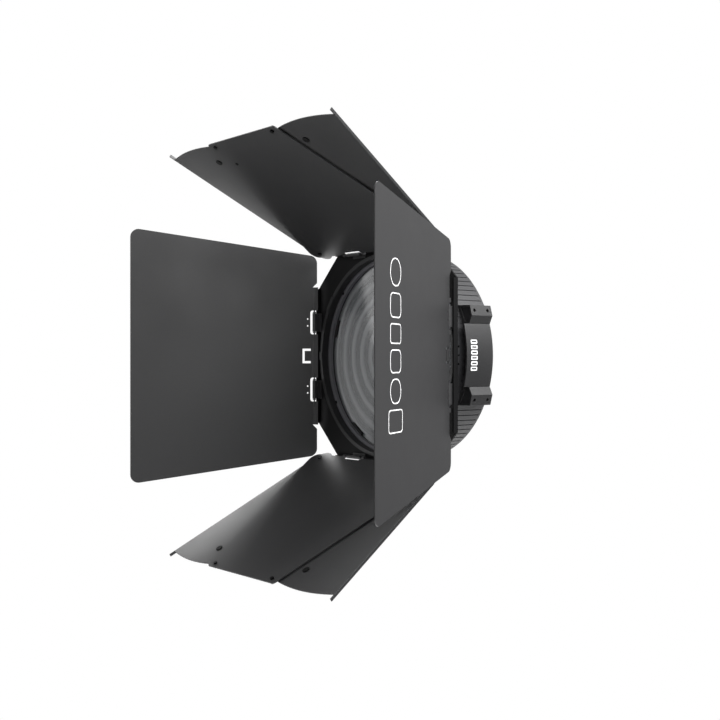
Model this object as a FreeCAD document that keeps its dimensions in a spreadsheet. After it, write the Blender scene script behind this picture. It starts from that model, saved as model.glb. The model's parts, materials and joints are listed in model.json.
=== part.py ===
"""Four-leaf barn doors on a round lens housing, for a stage spotlight.

Frame: origin at the centre of the rear mounting face, +Z up, the light travels along -Y.
Depths in the sheet are measured backwards from the front rim of the turning frame.
"""
import FreeCAD
import Part
import math
import os

import Sketcher

V = FreeCAD.Vector
os.makedirs("parts", exist_ok=True)
doc = FreeCAD.newDocument("barn_doors")
sheet = doc.addObject("Spreadsheet::Sheet", "dims")

SIZES = {
    # depths behind the front rim
    "overall_depth": 120.0, "floor_front": 6.0, "pan_back": 8.7,
    "front_ring_front": 9.0, "front_ring_back": 16.0, "collar_flange_front": 4.6,
    "collar_back": 16.3, "retainer_back": 17.5, "clamp_front": 18.5, "clamp_back": 24.5,
    "gasket_back": 27.8, "lens_back": 34.0, "seat_back": 38.0, "drum_back": 85.0,
    "drum_wall_front": 82.0, "cover_back": 87.5, "cover_nose": 98.0, "barrel_back": 114.0,
    # radii of the turned parts
    "drum_radius": 166.0, "drum_bore": 161.5, "front_ring_bore": 158.5,
    "collar_radius": 158.42, "collar_bore": 156.8, "collar_flange_radius": 163.0,
    "retainer_radius": 160.8, "clamp_bore": 152.0, "gasket_bore": 153.5, "lens_radius": 158.0,
    "seat_bore": 146.0, "baffle_mouth": 140.0, "baffle_throat": 66.0,
    "drum_back_bore": 150.0, "cover_radius": 162.0, "barrel_radius": 74.0, "barrel_bore": 69.0,
    "mount_radius": 82.0, "mount_bore": 62.0, "lug_radius": 88.0,
    # ribs round the drum
    "rib_count": 108.0, "groove_width": 1.8, "groove_depth": 1.1,
    "groove_front": 21.0, "groove_back": 81.0,
    # eight-sided frame pan
    "pan_half": 168.0, "pan_chamfer": 53.7, "pan_lip": 2.5, "pan_hole": 158.7,
    # hinges
    "hinge_across": 164.6, "hinge_ahead": 6.1, "hinge_spacing": 57.0, "knuckle_radius": 3.2,
    "pin_radius": 1.2, "bracket_bore": 1.26, "bracket_half": 15.5, "bracket_sheet": 2.0,
    "window_half": 20.3, "window_depth": 6.8, "ear_radius": 2.6, "ear_end": 27.0,
    "collar_start": 15.8, "collar_length": 2.0,
    # doors
    "leaf_sheet": 1.5, "side_angle": 29.0, "flap_angle": 30.0,
    "side_hinge_half": 169.1, "side_outer_half": 211.8, "side_length": 311.2,
    "corner_radius": 13.5, "fold_half": 117.0, "fold_start": 2.2,
    "flap_start": 6.4, "flap_length": 303.0,
    # wings of the top and bottom doors
    "pivot_across": 135.4, "pivot_along": 16.4, "wing_gap": 1.5, "wing_sheet": 1.5,
    "wing_arc": 283.0, "wing_tip_arc": 292.5, "wing_ear": 20.0, "wing_lip": 3.0,
    "pivot_radius": 2.5, "pivot_clearance": 0.06,
}
for row, (alias, value) in enumerate(SIZES.items(), start=1):
    sheet.set(f"A{row}", alias)
    sheet.set(f"B{row}", str(value))
    sheet.setAlias(f"B{row}", alias)
doc.recompute()

AXIS_SHIFT = 4.7                 # the hinge axis lies this far outboard of a door's hinge edge
DEPTH_SHIFT = V(0, -SIZES["overall_depth"], 0)
nodes = []


def size(name):
    """Read one driving dimension from the sheet."""
    return float(sheet.get(name))


def amount(value):
    """A number, or the number that a sheet alias holds."""
    return size(value) if isinstance(value, str) else float(value)


def finish(part, label):
    """Give a sub-part its name and put it on the list of nodes to write."""
    part.Label = label
    nodes.append(part)
    return part


def new_body(label, placement=None):
    """A body in rim coordinates, moved back so that the rear mounting face is at zero."""
    body = doc.addObject("PartDesign::Body", label)
    body.Placement = placement or FreeCAD.Placement(DEPTH_SHIFT, FreeCAD.Rotation())
    return body


def sketch_on(body, role, offset=0.0):
    """A sketch on one of the body's own origin planes, moved along the plane's normal."""
    flat = next(item for item in body.Origin.OriginFeatures if item.Role == role)
    sketch = body.newObject("Sketcher::SketchObject", body.Name + "_sketch")
    sketch.AttachmentSupport = [(flat, "")]
    sketch.MapMode = "FlatFace"
    sketch.AttachmentOffset = FreeCAD.Placement(V(0, 0, offset), FreeCAD.Rotation())
    return sketch


def bind(sketch, index, value):
    """Tie a constraint to its sheet cell when the value is an alias."""
    if isinstance(value, str):
        sketch.setExpression(f"Constraints[{index}]", "dims." + value)


def polygon(sketch, corners):
    """A closed outline whose every corner is dimensioned from the origin."""
    points = [V(amount(across), amount(along), 0) for across, along in corners]
    for index, point in enumerate(points):
        sketch.addGeometry(Part.LineSegment(point, points[(index + 1) % len(points)]), False)
    for index in range(len(points)):
        following = (index + 1) % len(points)
        sketch.addConstraint(Sketcher.Constraint("Coincident", index, 2, following, 1))
    for index, (across, along) in enumerate(corners):
        first = sketch.addConstraint(
            Sketcher.Constraint("DistanceX", -1, 1, index, 1, amount(across)))
        bind(sketch, first, across)
        second = sketch.addConstraint(
            Sketcher.Constraint("DistanceY", -1, 1, index, 1, amount(along)))
        bind(sketch, second, along)


def circle(sketch, across, along, radius):
    """A circle with its centre and radius dimensioned."""
    index = sketch.addGeometry(
        Part.Circle(V(amount(across), amount(along), 0), V(0, 0, 1), amount(radius)), False)
    bind(sketch, sketch.addConstraint(
        Sketcher.Constraint("Radius", index, amount(radius))), radius)
    bind(sketch, sketch.addConstraint(
        Sketcher.Constraint("DistanceX", -1, 1, index, 3, amount(across))), across)
    bind(sketch, sketch.addConstraint(
        Sketcher.Constraint("DistanceY", -1, 1, index, 3, amount(along))), along)


def rounded(corners):
    """Lines and arcs of a closed outline given as (across, along, corner radius)."""
    cut_points = []
    for index, (across, along, radius) in enumerate(corners):
        here = V(across, along, 0)
        before = corners[index - 1]
        after = corners[(index + 1) % len(corners)]
        back = (V(before[0], before[1], 0) - here).normalize()
        ahead = (V(after[0], after[1], 0) - here).normalize()
        half = back.getAngle(ahead) / 2
        reach = radius / math.tan(half) if radius else 0.0
        centre = here + (back + ahead).normalize() * (radius / math.sin(half))
        middle = centre - (back + ahead).normalize() * radius
        cut_points.append((here + back * reach, middle, here + ahead * reach, radius))
    edges = []
    for index, (start, middle, end, radius) in enumerate(cut_points):
        if radius:
            edges.append(Part.Arc(start, middle, end))
        edges.append(Part.LineSegment(end, cut_points[(index + 1) % len(cut_points)][0]))
    return edges


def pad(body, sketch, length, middle=False, backwards=False):
    """Extrude a sketch of the body by a sheet alias or a number."""
    feature = body.newObject("PartDesign::Pad", body.Name + "_pad")
    feature.Profile = sketch
    feature.Length = amount(length)
    feature.Midplane = middle
    feature.Reversed = backwards
    if isinstance(length, str):
        feature.setExpression("Length", "dims." + length)
    return feature


def cut_through(body, sketch):
    """Cut a sketch right through the body, and prove that it took material away."""
    doc.recompute()
    before = body.Shape.Volume
    feature = body.newObject("PartDesign::Pocket", body.Name + "_cut")
    feature.Profile = sketch
    feature.Type = "ThroughAll"
    feature.Midplane = True
    doc.recompute()
    if body.Shape.Volume > before - 0.1:
        raise RuntimeError(body.Name + ": a cut took nothing away")
    return feature


def turned(label, corners):
    """A part turned about the beam axis: corners are (radius, depth behind the rim)."""
    body = new_body(label)
    sketch = sketch_on(body, "XY_Plane")
    polygon(sketch, corners)
    spin = body.newObject("PartDesign::Revolution", label + "_turn")
    spin.Profile = sketch
    spin.ReferenceAxis = (sketch, ["V_Axis"])
    spin.Angle = 360.0
    return body


def ring(label, bore, radius, front, back):
    """A plain turned ring."""
    return turned(label, [(bore, front), (radius, front), (radius, back), (bore, back)])


def cylinder(radius, length, place, direction):
    """A cylinder primitive that starts at a place and runs along a direction."""
    shape = doc.addObject("Part::Cylinder", "Round")
    shape.Radius = amount(radius)
    shape.Height = amount(length)
    if isinstance(radius, str):
        shape.setExpression("Radius", "dims." + radius)
    shape.Placement = FreeCAD.Placement(place, FreeCAD.Rotation(V(0, 0, 1), direction))
    return shape


def group(parts):
    """Separate solids kept together as one object."""
    compound = doc.addObject("Part::Compound", "Group")
    compound.Links = parts
    return compound


def fuse(first, second):
    """Two overlapping solids made one."""
    joined = doc.addObject("Part::Fuse", "Joined")
    joined.Base = first
    joined.Tool = second
    return joined


def bored(base, tools):
    """A part with the holes that its fasteners go through."""
    result = base
    for tool in tools:
        cut = doc.addObject("Part::Cut", "Bored")
        cut.Base = result
        cut.Tool = tool
        result = cut
    return result


def fasteners(seats, head_radius, head_height, shank_radius, shank_length, sink=0.0):
    """Headed fasteners, and the holes they need. A seat is (place under the head, direction)."""
    whole = []
    holes = []
    for place, direction in seats:
        top = place - direction * head_height
        head = cylinder(head_radius, head_height, top, direction)
        shank = cylinder(shank_radius, shank_length, place, direction)
        whole.append(fuse(head, shank))
        holes.append(cylinder(head_radius, head_height + sink, top - direction * sink,
                              direction))
        holes.append(cylinder(shank_radius, shank_length, place, direction))
    return group(whole), group(holes)


def rim_point(radius, degrees, depth):
    """A point at a radius and an angle round the beam, at a depth behind the rim."""
    angle = math.radians(degrees)
    return V(radius * math.cos(angle), depth, radius * math.sin(angle)) + DEPTH_SHIFT


def quarter(degrees):
    """A turn about the beam: 0 is the right side, 90 the top, 180 the left."""
    return FreeCAD.Rotation(V(0, -1, 0), degrees)


# --- turned housing ---------------------------------------------------------------------------
BACK = V(0, 1, 0)
FRONT = V(0, -1, 0)

drum = turned("drum_blank", [
    ("drum_bore", "front_ring_back"), ("drum_radius", "front_ring_back"),
    ("drum_radius", "drum_back"), ("drum_back_bore", "drum_back"),
    ("drum_back_bore", "drum_wall_front"), ("drum_bore", "drum_wall_front")])
groove_sketch = sketch_on(drum, "XZ_Plane", -size("groove_front"))
groove_floor = size("drum_radius") - size("groove_depth")
half_groove = size("groove_width") / 2
polygon(groove_sketch, [
    (groove_floor, -half_groove), (groove_floor + 4.0, -half_groove),
    (groove_floor + 4.0, half_groove), (groove_floor, half_groove)])
doc.recompute()
plain_volume = drum.Shape.Volume
groove = drum.newObject("PartDesign::Pocket", "groove")
groove.Profile = groove_sketch
groove.Type = "Length"
groove.Length = size("groove_back") - size("groove_front")
groove.setExpression("Length", "dims.groove_back - dims.groove_front")
groove.Reversed = False
doc.recompute()
if drum.Shape.Volume > plain_volume - 1.0:
    groove.Reversed = True
ribs = drum.newObject("PartDesign::PolarPattern", "ribs")
ribs.Originals = [groove]
ribs.Axis = (groove_sketch, ["N_Axis"])
ribs.Angle = 360.0
ribs.Occurrences = int(size("rib_count"))
drum.Tip = ribs
doc.recompute()

front_ring = ring("front_ring_blank", "front_ring_bore", "drum_radius",
                  "front_ring_front", "front_ring_back")
clamp = ring("clamp_blank", "clamp_bore", "drum_bore", "clamp_front", "clamp_back")
gasket = finish(ring("gasket", "gasket_bore", "drum_bore", "clamp_back", "gasket_back"),
                "lens_gasket")
seat = ring("seat", "seat_bore", "drum_bore", "lens_back", "seat_back")
finish(seat, "lens_seat_ring")

# The lens is a flat disc behind stepped rings, each ring a short slope and a riser.
RING_PITCH = 9.0
RING_STEP = 2.2
profile = [(0.0, "lens_back"), ("lens_radius", "lens_back"), ("lens_radius", "gasket_back")]
radius = 150.0
while radius > RING_PITCH:
    profile.append((radius, "gasket_back"))
    radius -= RING_PITCH
    profile.append((radius, size("gasket_back") + RING_STEP))
profile.append((0.0, size("gasket_back") + RING_STEP))
finish(turned("lens", profile), "fresnel_lens")

finish(turned("baffle", [
    ("baffle_mouth", "seat_back"), ("drum_bore", "seat_back"), ("drum_bore", 39.5),
    (141.0, 39.5), ("baffle_throat", 78.0), (64.0, 78.0)]), "light_baffle")

cover = turned("cover_blank", [
    (118.5, "drum_back"), ("cover_radius", "drum_back"), ("cover_radius", "cover_back"),
    (120.0, "cover_back"), (84.0, "cover_nose"), ("barrel_bore", "cover_nose"),
    ("barrel_bore", 95.5), (83.0, 95.5)])
barrel = ring("barrel", "barrel_bore", "barrel_radius", "cover_nose", "barrel_back")
finish(barrel, "rear_barrel")

# The rear mounting ring carries three lugs that turn behind a lamp's bayonet.
mount_ring = ring("mount_blank", "mount_bore", "mount_radius", "barrel_back", "overall_depth")
lug_sketch = sketch_on(mount_ring, "XZ_Plane", -size("overall_depth"))
LUG_HALF_ANGLE = 16.0
for middle_angle in (90.0, 210.0, 330.0):
    first_geometry = lug_sketch.GeometryCount
    low = math.radians(middle_angle - LUG_HALF_ANGLE)
    high = math.radians(middle_angle + LUG_HALF_ANGLE)
    inner = size("mount_radius") - 3.0
    outer = size("lug_radius")
    corner = [V(r * math.cos(a), r * math.sin(a), 0)
              for r, a in ((inner, low), (outer, low), (outer, high), (inner, high))]
    middle = math.radians(middle_angle)
    crown = V(outer * math.cos(middle), outer * math.sin(middle), 0)
    lug_sketch.addGeometry(Part.LineSegment(corner[0], corner[1]), False)
    lug_sketch.addGeometry(Part.Arc(corner[1], crown, corner[2]), False)
    lug_sketch.addGeometry(Part.LineSegment(corner[2], corner[3]), False)
    lug_sketch.addGeometry(Part.LineSegment(corner[3], corner[0]), False)
pad(mount_ring, lug_sketch, 2.5)

# --- fasteners of the housing -----------------------------------------------------------------
FIFTHS = [18.0 + 72.0 * turn for turn in range(5)]
SIXTHS = [60.0 * turn for turn in range(6)]

clamp_screws, clamp_holes = fasteners(
    [(rim_point(156.8, angle - 24.0, size("clamp_front")), BACK) for angle in FIFTHS],
    2.6, 0.6, 1.5, 5.0)
finish(clamp_screws, "lens_ring_screws")
finish(bored(clamp, [clamp_holes]), "lens_retaining_ring")

mount_screws, mount_holes = fasteners(
    [(rim_point(71.5, angle, size("overall_depth") - 1.5), FRONT) for angle in SIXTHS],
    2.2, 1.5, 1.3, 2.5)
finish(mount_screws, "mount_screws")
finish(bored(mount_ring, [mount_holes]), "mount_ring")

cover_screws, cover_holes = fasteners(
    [(rim_point(156.0, 30.0 + angle, size("cover_back")), FRONT) for angle in SIXTHS],
    3.0, 1.8, 1.5, 4.5)
finish(cover_screws, "rear_cover_screws")
finish(bored(cover, [cover_holes]), "rear_cover")
finish(bored(drum, [cover_holes]), "drum_housing")

# Small screws set into the rim of the front ring, on the side where the guards are.
SIDE_SCREW_ANGLES = [-4.5, 0.0, 4.5, 175.5, 180.0, 184.5]
side_seats = []
for angle in SIDE_SCREW_ANGLES:
    outward = quarter(angle).multVec(V(1, 0, 0))
    side_seats.append((rim_point(165.2, angle, 12.5), outward * -1))
side_screws, side_holes = fasteners(side_seats, 1.5, 1.2, 0.9, 3.5)
finish(side_screws, "front_ring_screws")
finish(bored(front_ring, [side_holes]), "front_ring")

# Lens clips: flat tabs between the retaining ring and the glass.
CLIP_WIDTH = 30.0
CLIP_REACH = 5.0
clips = []
for angle in FIFTHS:
    tab = doc.addObject("Part::Box", "Tab")
    tab.Length = CLIP_REACH
    tab.Width = size("gasket_back") - size("clamp_back")
    tab.Height = CLIP_WIDTH
    turn = quarter(angle)
    corner_place = turn.multVec(V(147.6, size("clamp_back"), -CLIP_WIDTH / 2)) + DEPTH_SHIFT
    tab.Placement = FreeCAD.Placement(corner_place, turn)
    clips.append(tab)
finish(group(clips), "lens_clips")


# --- side guards ------------------------------------------------------------------------------
GUARD_INNER = 176.5
GUARD_OUTER = 180.0
GUARD_HALF = 47.0
BLOCK_FACE = [(179.3, 59.0), (175.0, 74.5)]
BLOCK_FRONT = 26.5
BLOCK_BACK = 70.0
SCREW_UP = 0.5                   # where the screws sit, as a share of the block's outer face
SCREW_SINK = 4.0                 # the heads lie this deep below the outer face


def arc_end(radius, height):
    """A point of a circle about the beam, at a height above the middle."""
    return V(math.sqrt(radius * radius - height * height), height, 0)


def guard_band(turn):
    """The curved cover plate that stands off the drum between two end blocks."""
    body = new_body("band", FreeCAD.Placement(DEPTH_SHIFT, turn))
    sketch = sketch_on(body, "XZ_Plane", -70.0)
    inner_low = arc_end(GUARD_INNER, -GUARD_HALF)
    inner_high = arc_end(GUARD_INNER, GUARD_HALF)
    outer_low = arc_end(GUARD_OUTER, -GUARD_HALF)
    outer_high = arc_end(GUARD_OUTER, GUARD_HALF)
    sketch.addGeometry(Part.Arc(inner_low, V(GUARD_INNER, 0, 0), inner_high), False)
    sketch.addGeometry(Part.LineSegment(inner_high, outer_high), False)
    sketch.addGeometry(Part.Arc(outer_high, V(GUARD_OUTER, 0, 0), outer_low), False)
    sketch.addGeometry(Part.LineSegment(outer_low, inner_low), False)
    pad(body, sketch, 54.0)
    return body


def guard_block(turn, side):
    """A hollow-fronted end block, standing on the drum above or below the band."""
    body = new_body("block", FreeCAD.Placement(DEPTH_SHIFT, turn))
    sketch = sketch_on(body, "XZ_Plane", -BLOCK_BACK)
    drum_low = arc_end(size("drum_radius"), GUARD_HALF)
    drum_middle = arc_end(size("drum_radius"), 61.0)
    drum_high = arc_end(size("drum_radius"), 75.0)
    band_top = arc_end(GUARD_OUTER, GUARD_HALF)
    path = [drum_low, band_top] + [V(x, z, 0) for x, z in BLOCK_FACE] + [drum_high]
    flip = [V(point.x, point.y * side, 0) for point in path]
    for index in range(len(flip) - 1):
        sketch.addGeometry(Part.LineSegment(flip[index], flip[index + 1]), False)
    middle = V(drum_middle.x, drum_middle.y * side, 0)
    sketch.addGeometry(Part.Arc(flip[-1], middle, flip[0]), False)
    pad(body, sketch, BLOCK_BACK - BLOCK_FRONT)
    hollow = sketch_on(body, "XZ_Plane", -BLOCK_FRONT)
    mouth = [(164.0, 50.0), (171.5, 50.0), (176.0, 59.0), (172.5, 71.5), (154.5, 71.5)]
    for edge in rounded([(x, z * side, 0) for x, z in mouth]):
        hollow.addGeometry(edge, False)
    doc.recompute()
    solid_volume = body.Shape.Volume
    pocket = body.newObject("PartDesign::Pocket", "hollow")
    pocket.Profile = hollow
    pocket.Length = 2.0
    doc.recompute()
    if body.Shape.Volume > solid_volume - 1.0:
        pocket.Reversed = True
    return body


guard_seats = []
block_slope = V(BLOCK_FACE[1][0] - BLOCK_FACE[0][0], 0, BLOCK_FACE[1][1] - BLOCK_FACE[0][1])
guard_blocks = {}
for name, degrees in (("right", 0.0), ("left", 180.0)):
    turn = quarter(degrees)
    finish(guard_band(turn), f"side_guard_{name}")
    guard_blocks[name] = group([guard_block(turn, 1), guard_block(turn, -1)])
    for side in (1, -1):
        outward = V(block_slope.z, 0, -block_slope.x * side).normalize()
        seat_x = BLOCK_FACE[0][0] + block_slope.x * SCREW_UP
        seat_z = (BLOCK_FACE[0][1] + block_slope.z * SCREW_UP) * side
        for depth in (34.0, 61.5):
            seat_place = V(seat_x, depth, seat_z) - outward * (SCREW_SINK + 1.2)
            guard_seats.append((turn.multVec(seat_place) + DEPTH_SHIFT,
                                turn.multVec(outward) * -1))
guard_screws, guard_holes = fasteners(guard_seats, 2.6, 0.9, 1.4, 5.0, SCREW_SINK + 1.0)
finish(guard_screws, "guard_screws")
for name, blocks in guard_blocks.items():
    finish(bored(blocks, [guard_holes]), f"guard_blocks_{name}")


# --- turning frame ----------------------------------------------------------------------------
def pan_outline(reach):
    """The eight corners of the pan."""
    side = reach - size("pan_chamfer")
    return [(reach, side), (side, reach), (-side, reach), (-reach, side),
            (-reach, -side), (-side, -reach), (side, -reach), (reach, -side)]


pan = new_body("pan_blank")
floor_sketch = sketch_on(pan, "XZ_Plane", -size("pan_back"))
polygon(floor_sketch, pan_outline(size("pan_half")))
circle(floor_sketch, 0.0, 0.0, "pan_hole")
pad(pan, floor_sketch, size("pan_back") - size("floor_front"))
lip_sketch = sketch_on(pan, "XZ_Plane", -size("pan_back"))
lip_half = size("pan_half") - size("pan_chamfer")
lip_inner = size("pan_half") - size("pan_lip")
for degrees in (0.0, 90.0, 180.0, 270.0):
    spin = FreeCAD.Rotation(V(0, 0, 1), degrees)
    box = [spin.multVec(V(x, z, 0)) for x, z in (
        (lip_inner, -lip_half), (size("pan_half"), -lip_half),
        (size("pan_half"), lip_half), (lip_inner, lip_half))]
    for index in range(4):
        lip_sketch.addGeometry(Part.LineSegment(box[index], box[(index + 1) % 4]), False)
pad(pan, lip_sketch, "pan_back")

finish(turned("collar", [
    ("collar_bore", "collar_flange_front"), ("collar_flange_radius", "collar_flange_front"),
    ("collar_flange_radius", "floor_front"), ("collar_radius", "floor_front"),
    ("collar_radius", "collar_back"), ("collar_bore", "collar_back")]), "rotation_collar")
finish(ring("retainer", "collar_bore", "retainer_radius", "collar_back", "retainer_back"),
       "collar_retainer")


def flange_tab(first, last, height):
    """A raised segment on the collar's flange, between two angles."""
    body = new_body("tab")
    sketch = sketch_on(body, "XZ_Plane", -size("collar_flange_front"))
    inner = size("collar_bore")
    outer = size("collar_flange_radius")
    low, middle, high = (math.radians(a) for a in (first, (first + last) / 2, last))

    def at(reach, angle):
        return V(reach * math.cos(angle), reach * math.sin(angle), 0)

    sketch.addGeometry(Part.Arc(at(inner, low), at(inner, middle), at(inner, high)), False)
    sketch.addGeometry(Part.LineSegment(at(inner, high), at(outer, high)), False)
    sketch.addGeometry(Part.Arc(at(outer, high), at(outer, middle), at(outer, low)), False)
    sketch.addGeometry(Part.LineSegment(at(outer, low), at(inner, low)), False)
    pad(body, sketch, height)
    return body


finish(flange_tab(142.0, 152.0, 1.5), "collar_stop_tab")
finish(group([flange_tab(-2.4, 2.4, 1.4), flange_tab(177.6, 182.4, 1.4)]), "index_keys")


# --- hinges -----------------------------------------------------------------------------------
HINGE_CENTRES = (-size("hinge_spacing"), size("hinge_spacing"))
FOOT_END = 158.8                 # the foot stops short of the collar's flange
SIDES = {"right": 0.0, "top": 90.0, "left": 180.0, "bottom": 270.0}


def hinge_bracket(turn, centre):
    """A barrel on the hinge line, with a strap down the inside of the pan's lip to a foot."""
    body = new_body("bracket", FreeCAD.Placement(DEPTH_SHIFT, turn))
    across = size("hinge_across")
    ahead = -size("hinge_ahead")
    lip_face = size("pan_half") - size("pan_lip")
    strap_face = lip_face - size("bracket_sheet")
    foot_top = size("floor_front") - size("bracket_sheet")
    barrel_sketch = sketch_on(body, "XY_Plane", centre)
    circle(barrel_sketch, across, ahead, "knuckle_radius")
    pad(body, barrel_sketch, 2 * size("bracket_half"), middle=True)
    strap_sketch = sketch_on(body, "XY_Plane", centre)
    polygon(strap_sketch, [
        (strap_face, ahead), (lip_face, ahead), (lip_face, "floor_front"),
        (FOOT_END, "floor_front"), (FOOT_END, foot_top), (strap_face, foot_top)])
    pad(body, strap_sketch, 2 * size("bracket_half"), middle=True)
    bore_sketch = sketch_on(body, "XY_Plane", centre)
    circle(bore_sketch, across, ahead, "bracket_bore")
    cut_through(body, bore_sketch)
    return body


rivet_seats = []
brackets = {}
for name, degrees in SIDES.items():
    turn = quarter(degrees)
    brackets[name] = group([hinge_bracket(turn, centre) for centre in HINGE_CENTRES])
    for centre in HINGE_CENTRES:
        for step in (-9.0, 9.0):
            seat_x = size("pan_half") - size("pan_lip") - size("bracket_sheet")
            seat_place = V(seat_x, 1.8, centre + step)
            rivet_seats.append((turn.multVec(seat_place) + DEPTH_SHIFT,
                                turn.multVec(V(1, 0, 0))))
bracket_rivets, bracket_holes = fasteners(rivet_seats, 1.8, 0.9, 1.1, 4.0)
finish(bracket_rivets, "hinge_bracket_rivets")
finish(bored(pan, [bracket_holes]), "frame_pan")
for name in SIDES:
    finish(bored(brackets[name], [bracket_holes]), f"hinge_brackets_{name}")


# --- doors ------------------------------------------------------------------------------------
HOLE_ALONG = 11.3                # the two small holes behind each hinge window
HOLE_RADIUS = 1.25
FOLD_ANGLE = 30.0                # a side door's hinge edge is folded in by this angle
FOLD_REACH = 9.2                 # length of the fold


def door_place(degrees, opening):
    """Where a door sits: X along the hinge, Y out along the sheet, Z away from the light."""
    lean = math.radians(opening)
    turn = FreeCAD.Rotation(V(0, 0, 1), V(math.sin(lean), -math.cos(lean), 0),
                            V(math.cos(lean), math.sin(lean), 0), "XYZ")
    quarter_turn = quarter(degrees)
    start = V(size("hinge_across"), -size("hinge_ahead"), 0)
    return FreeCAD.Placement(quarter_turn.multVec(start) + DEPTH_SHIFT,
                             quarter_turn.multiply(turn))


def sheet_body(label, outline, place):
    """A flat sheet whose inner face lies on the door's own XY plane."""
    body = new_body(label, place)
    sketch = sketch_on(body, "XY_Plane")
    for edge in outline:
        sketch.addGeometry(edge, False)
    pad(body, sketch, "leaf_sheet")
    return body


def add_knuckles(body):
    """Rolled ears just past both ends of each hinge window."""
    length = size("ear_end") - size("window_half")
    for centre in HINGE_CENTRES:
        for start in (centre + size("window_half"), centre - size("ear_end")):
            sketch = sketch_on(body, "YZ_Plane", start)
            circle(sketch, 0.0, 0.0, "ear_radius")
            pad(body, sketch, length)


def cut_windows(body, edge):
    """The two windows in the hinge edge, where the frame's barrels sit."""
    sketch = sketch_on(body, "XY_Plane")
    half = size("window_half")
    depth = size("window_depth")
    for centre in HINGE_CENTRES:
        for piece in rounded([(centre - half, edge - 2.0, 0), (centre + half, edge - 2.0, 0),
                              (centre + half, depth, 4.0), (centre - half, depth, 4.0)]):
            sketch.addGeometry(piece, False)
        for step in (-5.8, 5.8):
            circle(sketch, centre + step, HOLE_ALONG, HOLE_RADIUS)
    cut_through(body, sketch)


def hinge_pins(name, place):
    """The pins, each with two collars that stop the frame's barrel from sliding."""
    along = place.Rotation.multVec(V(1, 0, 0))
    half = size("ear_end")
    collar_reach = size("collar_length")
    pins = []
    holes = []
    for centre in HINGE_CENTRES:
        start = place.multVec(V(centre - half, 0, 0))
        pin = cylinder("pin_radius", 2 * half, start, along)
        for offset in (-size("collar_start") - collar_reach, size("collar_start")):
            collar_start = place.multVec(V(centre + offset, 0, 0))
            pin = fuse(pin, cylinder("ear_radius", collar_reach, collar_start, along))
        pins.append(pin)
        holes.append(cylinder("pin_radius", 2 * half, start, along))
    finish(group(pins), f"hinge_pins_{name}")
    return group(holes)


def fold_edge(body):
    """The stiffening fold along a side door's hinge edge, turned towards the light."""
    lean = math.radians(FOLD_ANGLE)
    start = size("fold_start") + 0.4
    run = (-math.cos(lean) * FOLD_REACH, -math.sin(lean) * FOLD_REACH)
    through = (-math.sin(lean) * size("leaf_sheet"), math.cos(lean) * size("leaf_sheet"))
    half = size("fold_half") - 0.5
    sketch = sketch_on(body, "YZ_Plane", -half)
    for piece in rounded([
            (start, 0, 0), (start + run[0], run[1], 0),
            (start + run[0] + through[0], run[1] + through[1], 0),
            (start + through[0], through[1], 0)]):
        sketch.addGeometry(piece, False)
    pad(body, sketch, 2 * half)


def side_door(name):
    """A side door: a tapered sheet, wider at its outer edge."""
    place = door_place(SIDES[name], size("side_angle"))
    edge = -AXIS_SHIFT
    outer = edge + size("side_length")
    radius = size("corner_radius")
    hinge_half = size("side_hinge_half")
    outer_half = size("side_outer_half")
    fold = size("fold_start")
    fold_half = size("fold_half")
    mitre = fold - edge
    body = sheet_body("side_blank", rounded([
        (-hinge_half, edge, radius), (-fold_half - mitre, edge, 0), (-fold_half, fold, 0),
        (fold_half, fold, 0), (fold_half + mitre, edge, 0), (hinge_half, edge, radius),
        (outer_half, outer, radius), (-outer_half, outer, radius)]), place)
    fold_edge(body)
    cut_windows(body, -FOLD_REACH)
    tongue = sketch_on(body, "XY_Plane")
    for piece in rounded([(x, y, 0) for x, y in (
            (-12.4, 6.1), (-8.6, 6.1), (-8.6, 16.4), (8.6, 16.4),
            (8.6, 6.1), (12.4, 6.1), (12.4, 20.2), (-12.4, 20.2))]):
        tongue.addGeometry(piece, False)
    cut_through(body, tongue)
    add_knuckles(body)
    finish(bored(body, [hinge_pins(name, place)]), f"door_{name}")


def wing_outline(side):
    """A wing: a round ear on its pivot, a straight outer edge and an arc about the pivot."""
    pivot = V(size("pivot_across"), size("pivot_along") - AXIS_SHIFT, 0)
    ear = size("wing_ear")
    arc = size("wing_arc")
    lean = math.radians(WING_EDGE_LEAN)
    edge_start = pivot + V(math.cos(lean), -math.sin(lean), 0) * ear
    run = V(math.sin(lean), math.cos(lean), 0)
    corner = edge_start + run * math.sqrt(arc * arc - ear * ear)
    tab_tip = V(62.0, pivot.y + math.sqrt(arc * arc - (pivot.x - 62.0) ** 2), 0)
    inner = [tab_tip, V(62.0, 271.3, 0), V(87.0, 267.3, 0), V(106.0, 195.3, 0),
             V(112.0, 170.3, 0), pivot + V(-0.94, -0.342, 0) * ear]

    def flip(point):
        return V(point.x * side, point.y, 0)

    edges = [Part.LineSegment(flip(edge_start), flip(corner)),
             Part.Arc(flip(corner), flip(pivot + V(0, arc, 0)), flip(tab_tip))]
    for index in range(len(inner) - 1):
        edges.append(Part.LineSegment(flip(inner[index]), flip(inner[index + 1])))
    bottom = pivot + V(0.2, -0.98, 0).normalize() * ear
    edges.append(Part.Arc(flip(inner[-1]), flip(bottom), flip(edge_start)))
    return edges, edge_start, run


WING_EDGE_LEAN = 10.66           # the wing's outer edge leans out this far from square
WING_PLAY = 0.05                 # air between a wing and the parts it slides on


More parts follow.
